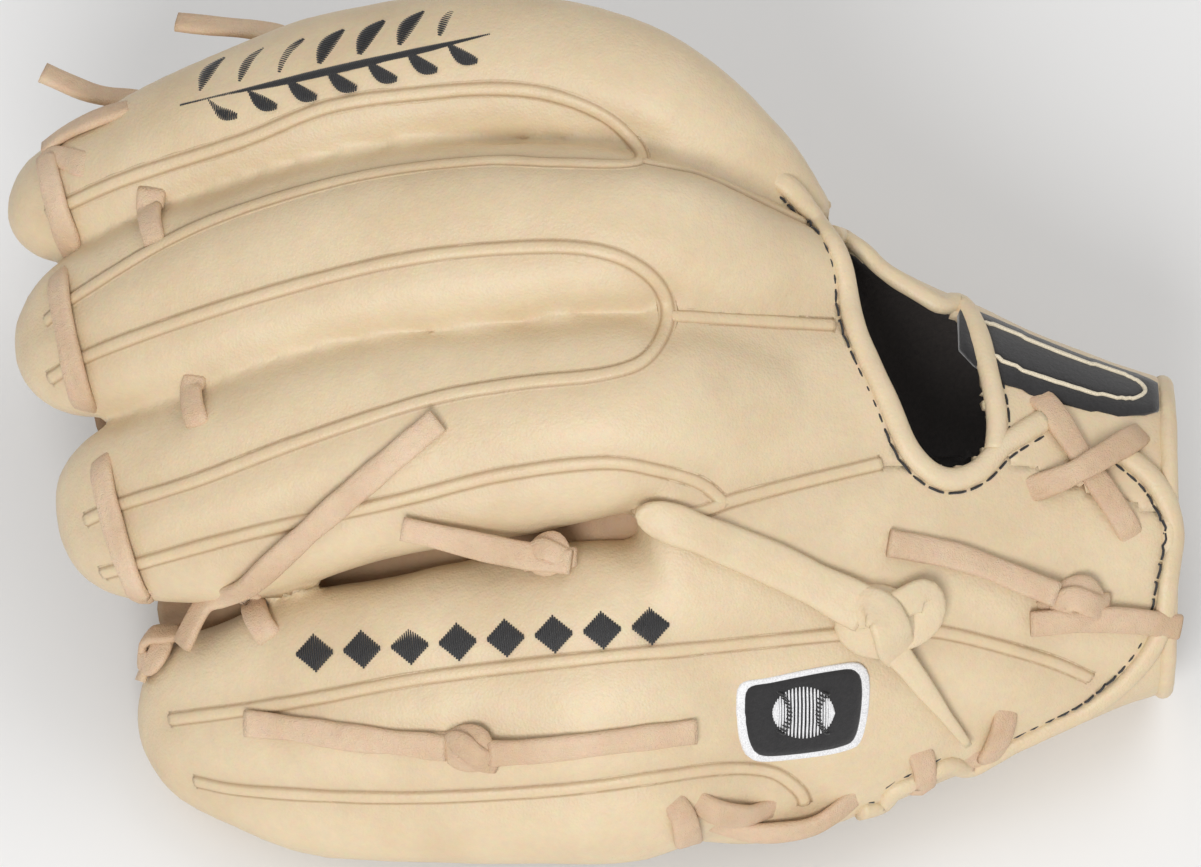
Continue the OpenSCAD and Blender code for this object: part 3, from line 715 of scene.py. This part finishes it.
def web_panel(x0, x1, f0, f1, thick):
    """A panel of the web with round corners and thin edges."""
    nx, nf = max(int(abs(x1 - x0) / 2), 4), max(int(abs(f1 - f0) * 24), 4)
    rings = []
    for i in range(nx + 1):
        x = x0 + (x1 - x0) * i / nx
        edge = min(i, nx - i, 2) / 2
        d = min(x - x0, x1 - x)
        inset = (5 - math.sqrt(25 - (5 - d) ** 2)) / 45 if d < 5 else 0
        outer, inner = [], []
        for k in range(nf + 1):
            f = f0 + inset + (f1 - f0 - 2 * inset) * k / nf
            soft = min(edge, min(k, nf - k, 2) / 2)
            h = thick / 2 * (0.45 + 0.55 * soft)
            outer.append(web_at(x, f, h))
            inner.append(web_at(x, f, -h))
        rings.append(outer + inner[::-1])
    return grid_solid(rings)


for name, spec in {"web_base": (-44, -24, -0.22, 1.14, 4.6), "web_post": (-85, -44, 0.3, 0.7, 3.6),
                   "web_top": (-110, -84, -0.25, 1.14, 4.6)}.items():
    o = obj_of(f"{name}_leather", web_panel(*spec), PALM)
    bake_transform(o)
    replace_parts(o, name)
web_runs = []
for x in (-78, -66, -54):
    for f0, f1 in ((-0.08, 0.34), (0.66, 1.08)):
        pts = np.array([web_at(x + 3 * (f - f0) / (f1 - f0), f,
                               2.5 * math.sin(math.pi * (f - f0) / (f1 - f0)))
                        for f in np.linspace(f0, f1, 14)])
        web_runs.append(strip(pts, np.tile([0.0, 1.0, 0.0], (14, 1)), LACE_W, LACE_T, wobble=0.15))
for x in (-104, -92, -38, -29):
    for f in (-0.08, 0.9):
        pts = np.array([web_at(x, f + g, 3.4 - 12 * (g - 0.06) ** 2 / 0.0144 * 0.25)
                        for g in np.linspace(-0.03, 0.15, 10)])
        web_runs.append(strip(pts, np.tile([0.0, 1.0, 0.0], (10, 1)), LACE_W, LACE_T, wobble=0.15))
web_lacing = obj_of("web_lacing", joined(web_runs), RAWHIDE)
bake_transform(web_lacing)
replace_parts(web_lacing, "web_laces")


def web_tail(name, node, points):
    """A free lace end that stands out from the web."""
    pts = spline(points, 1.2)
    ups = np.tile(unit((0.1, 0.75, 0.65)), (len(pts), 1))
    o = obj_of(name, strip(pts, ups, LACE_W, LACE_T, wobble=0.16), RAWHIDE)
    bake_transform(o)
    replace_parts(o, node)


web_tail("lace_tail_web_a", "web_tail_a", [web_at(-98, 0.25, 4), (-106, 81, 58), (-114, 81.5, 61),
                                           (-124, 83, 62), (-136, 88, 62)])
web_tail("lace_tail_web_b", "web_tail_b", [web_at(-66, 0.2, 5), (-75, 96, 72), (-84, 98, 72), (-94, 99, 71),
                                           (-103, 100, 70)])


# ---------- palm leather between the hand and the thumb ----------
def pinned(points, tree, depth=0.6):
    """Points moved onto a skin and sunk a little into it."""
    places = []
    for p in points:
        hit, normal, _, _ = tree.find_nearest(Vector(p))
        places.append(np.array(hit) - np.array(normal) * depth)
    places = np.array(places)
    for _ in range(4):
        places[1:-1] = (places[:-2] + 2 * places[1:-1] + places[2:]) / 4
    return places


upper = spline([(-26, 92, 84), (4, 85, 91), (20, 71, 93), (41, 53, 90), (66, 35, 82), (88, 22, 68)], 2.0)
lower = spline([(-26, 68, 24), (0, 58, 31), (24, 48, 37), (45, 36, 43), (62, 25, 49), (82, 12, 54)], 2.0)
lower = lower[np.linspace(0, len(lower) - 1, len(upper)).round().astype(int)]
upper, lower = pinned(upper, surface), pinned(lower, thumb_surface)
rings = []
for a, b in zip(upper, lower):
    line = []
    for f in np.linspace(0, 1, 15):
        wave = 1.2 * noise.noise(Vector((a[0] * 0.05, f * 2.2, 3)))
        line.append(a + (b - a) * f + np.array([0, (6 + wave) * math.sin(math.pi * f), 0]))
    thin = [p - (0, LEATHER * (0.35 + 0.65 * math.sin(math.pi * k / 14)), 0) for k, p in enumerate(line)]
    rings.append(line + thin[::-1])
palm_fold = obj_of("palm_fold", grid_solid(rings), PALM)
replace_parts(palm_fold, "web_pocket")
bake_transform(palm_fold)

# ---------- embroidery and patches ----------
def satin(shape, body, name, material=BLACK, radius=0.26, height=0.75):
    """Satin stitches laid across a shape: pairs of (x, y) ends, thread by thread."""
    parts = []
    for (x0, y0), (x1, y1) in shape:
        pts, ups = [], []
        for f in (0, 0.08, 0.35, 0.65, 0.92, 1):
            p, u = on_back(x0 + (x1 - x0) * f, y0 + (y1 - y0) * f,
                           height * (0.25 + 0.75 * math.sin(math.pi * min(max(f, 0.03), 0.97)) ** 0.5))
            pts.append(p)
            ups.append(u)
        parts.append(strip(np.array(pts), np.array(ups), radius * 2, radius * 2,
                           shape=THREAD))
    return obj_of(name, joined(parts), material, body)


def leaf(x, y, angle, long, wide, bend=0.25, spacing=0.5):
    """Threads across a curved leaf."""
    out = []
    n = max(int(long / spacing), 4)
    for k in range(1, n):
        f = k / n
        cx, cy = long * f, bend * long * math.sin(math.pi * f)
        w = wide * math.sin(math.pi * f) ** 0.7 / 2
        a, b = (cx - 0.35 * w, cy + w), (cx + 0.35 * w, cy - w)
        out.append(tuple((x + math.cos(angle) * p - math.sin(angle) * q,
                          y + math.sin(angle) * p + math.cos(angle) * q) for p, q in (a, b)))
    return out


def diamond(x, y, angle, long, wide, spacing=0.5):
    """Threads across a diamond."""
    out = []
    n = max(int(long / spacing), 4)
    for k in range(1, n):
        f = k / n
        w = wide * (1 - abs(2 * f - 1)) / 2
        a, b = (long * (f - 0.5), w), (long * (f - 0.5), -w)
        out.append(tuple((x + math.cos(angle) * p - math.sin(angle) * q,
                          y + math.sin(angle) * p + math.cos(angle) * q) for p, q in (a, b)))
    return out


sprig = []
for k in range(7):
    x = -96 + 9.6 * k
    y = 81 + 0.22 * (x + 96)
    sprig += leaf(x, y + 0.6, 0.95, 10.5, 3.6, 0.12) + leaf(x + 2, y - 1.0, -0.5, 8.5, 3.2, -0.12)
sprig += leaf(-101, 78.5, 0.215, 78, 1.7, 0.0, 0.42)
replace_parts(satin(sprig, "hand", "index_embroidery"), "index_emblem")
row_of_diamonds = []
for k in range(8):
    x = -68 + 11.4 * k
    row_of_diamonds += diamond(x, -52.2 + 0.085 * (x + 68) - 0.2, 0.08, 9.4, 9.0)
o = satin(row_of_diamonds, None, "pinky_embroidery")
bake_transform(o)
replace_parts(o, "pinky_emblem")


def patch(outline, name, material, thick, grow=1.0, step=1.4, height=0.0):
    """A thick piece of cloth with a rounded outline, lying on the back."""
    line = spline(outline + outline[:1], step)[:-1, :2]
    c = line.mean(0)
    rings = []
    for f, h in ((1.0, 0.0), (1.0, 0.75), (0.975, 1.0), (0.85, 1.0), (0.65, 1.0), (0.42, 1.0), (0.2, 1.0),
                 (0.03, 1.0)):
        rings.append([on_back(*(c + (p - c) * f * grow), height + 0.2 + thick * h)[0] for p in line])
    under = [[on_back(*(c + (p - c) * f * grow), height - 0.6)[0] for p in line] for f in (0.03, 0.5, 1.0)]
    return obj_of(name, grid_solid(under + rings), material, "hand")


BADGE = [(32, -66), (33, -59.5), (40, -57.8), (55, -55), (62, -54.8), (64, -60), (62.5, -72), (58, -75.5),
         (45, -77.5), (36, -77.5), (33, -73)]
badge = patch(BADGE, "badge", WHITE, 0.9)
patch(BADGE, "badge_field", FELT, 1.2, grow=0.88)
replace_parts(badge, "badge_patch")
ball = []
for k in range(25):
    a = math.pi * (k + 0.5) / 25
    ball.append(((48 + 7.2 * math.cos(a), -66 + 7.2 * math.sin(a)),
                 (48 + 7.2 * math.cos(a), -66 - 7.2 * math.sin(a))))
satin(ball, "hand", "badge_ball", WHITE, height=1.9)
for side in (-1, 1):
    arc = [(48 + side * (10.2 - 6.8 * math.cos(b)), -66 + 6.8 * math.sin(b))
           for b in np.linspace(-0.75, 0.75, 12)]
    satin([((x - 1.0, y + 0.4), (x + 1.0, y - 0.4)) for x, y in arc], "hand",
          f"badge_ball_seam_{'ab'[side > 0]}", BLACK, height=2.5, radius=0.22)


def on_strap(x, angle, height=0.0):
    """The point of the wrist at x and at an angle round it, from the thumb side over the back."""
    c = spline(HAND, 1.0)
    ring = section_ring(c[np.argmin(abs(c[:, 0] - x))], np.array([1.0, 0, 0]), 360)
    p = np.array(ring[int(round(angle)) % 360]) + (x - ring[0][0], 0, 0)
    hit, normal, _, _ = surface.find_nearest(Vector(p))
    normal = np.array(normal)
    if normal @ (p - np.array([x, -25, 76])) < 0:
        normal = -normal
    return np.array(hit) + normal * height, normal


def felt_place(u, v, height):
    """u runs along the strap's felt, v across it."""
    mid = 30 + 3 * math.sin(math.pi * u)
    return on_strap(86 + 48 * u, mid + 17 * v * (1 - abs(2 * u - 1) ** 6 * 0.35), height)


felt_rings = []
for v, h in ((-0.9, -0.5), (-1, -0.3), (-1, 0.9), (-0.95, 1.3), (-0.6, 1.4), (-0.2, 1.4), (0.2, 1.4),
             (0.6, 1.4), (0.95, 1.3), (1, 0.9), (1, -0.3), (0.9, -0.5)):
    felt_rings.append([felt_place(u, v, h)[0] for u in np.linspace(0, 1, 30)])
felt = obj_of("strap_felt", grid_solid([list(r) for r in zip(*felt_rings)]), FELT, "hand")
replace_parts(felt, "strap_patch")
loop = [(0.5 + 0.43 * math.cos(a), 0.62 * math.sin(a) + 0.12 * math.sin(3 * a))
        for a in np.linspace(0, 2 * math.pi, 90)]
places, ups = zip(*[felt_place(u, v, 1.6) for u, v in loop])
obj_of("strap_felt_outline", strip(np.array(places), np.array(ups), 1.0, 0.8, wobble=0.3), CREAM, "hand")

# ---------- heel pad under the wrist ----------
def swell(f, rim=0.14):
    """0 at both ends of the way, 1 in its middle, with a round rim."""
    return math.sqrt(max(1 - max(1 - min(f, 1 - f) / rim, 0) ** 2, 0))


rings = []
for f in np.linspace(0, 1, 25):
    angles = np.linspace(212, 322, 41)
    outer = [on_strap(103 + 31 * f, a, -0.4 + 4.8 * min(swell(f), swell(g))) for a,
             g in zip(angles, np.linspace(0, 1, 41))]
    inner = [on_strap(103 + 31 * f, a, -0.8) for a in angles[::-1]]
    rings.append([p for p, _ in outer + inner])
obj_of("heel_pad_leather", grid_solid(rings), PALM, "hand")

# ---------- eyelets in the strap ----------
for k, (x, y) in enumerate(((106, 15), (125, 4))):
    c, up = on_back(x, y, 0.25)
    side = unit(np.cross(up, (1, 0, 0)))
    ahead = np.cross(side, up)
    turn = [2 * math.pi * j / 24 for j in range(24)]
    rings = [[c + r * (side * math.cos(a) + ahead * math.sin(a)) + up * h for a in turn]
             for r, h in ((2.3, 0.0), (2.0, 0.25), (1.7, 0.1), (1.55, -0.4), (1.5, -1.4))]
    obj_of(f"eyelet_{k + 1}", grid_solid(rings, closed=True), LINING, "hand")

# ---------- stage ----------
floor_mesh = bpy.data.meshes.new("floor")
floor_mesh.from_pydata([(-6, -6, 0), (6, -6, 0), (6, 6, 0), (-6, 6, 0)], [], [(0, 1, 2, 3)])
floor = bpy.data.objects.new("floor", floor_mesh)
bpy.context.scene.collection.objects.link(floor)
m, n, link, bsdf = nodes_of("floor_paper")
bsdf.inputs["Base Color"].default_value = (0.86, 0.86, 0.86, 1)
bsdf.inputs["Roughness"].default_value = 0.9
floor_mesh.materials.append(m)
world = bpy.data.worlds.new("studio")
bpy.context.scene.world = world
world.use_nodes = True
world.node_tree.nodes["Background"].inputs[0].default_value = (1, 1, 1, 1)
world.node_tree.nodes["Background"].inputs[1].default_value = 0.56


def area(name, place, target, size, power):
    """A round soft light that looks at target."""
    light = bpy.data.lights.new(name, "AREA")
    light.energy, light.size, light.shape = power, size, "DISK"
    o = bpy.data.objects.new(name, light)
    o.location = place
    o.rotation_euler = (Vector(target) - Vector(place)).to_track_quat("-Z", "Y").to_euler()
    bpy.context.scene.collection.objects.link(o)


area("key", (-0.2, -1.3, 1.0), (0, 0, 0.05), 0.7, 15)
area("fill", (0.7, 0.5, 1.5), (0, 0, 0.05), 1.2, 5)

FIELD = 0.2882  # width that the camera sees in the glove's back
DISTANCE = 2.4
aim = LAY @ Vector((0, 0, 100))
out = (LAY.to_3x3() @ Vector((0, 0, 1))).normalized()
above = (LAY.to_3x3() @ Vector((0, 1, 0))).normalized()
camera_data = bpy.data.cameras.new("camera")
camera_data.sensor_width = 36
camera_data.lens = 36 * DISTANCE / FIELD
camera = bpy.data.objects.new("camera", camera_data)
right = above.cross(out)
camera.matrix_world = Matrix.Translation(aim + out * DISTANCE) @ Matrix((right, above,
        out)).transposed().to_4x4()
bpy.context.scene.collection.objects.link(camera)
bpy.context.scene.camera = camera
bpy.context.scene.view_settings.view_transform = "Standard"
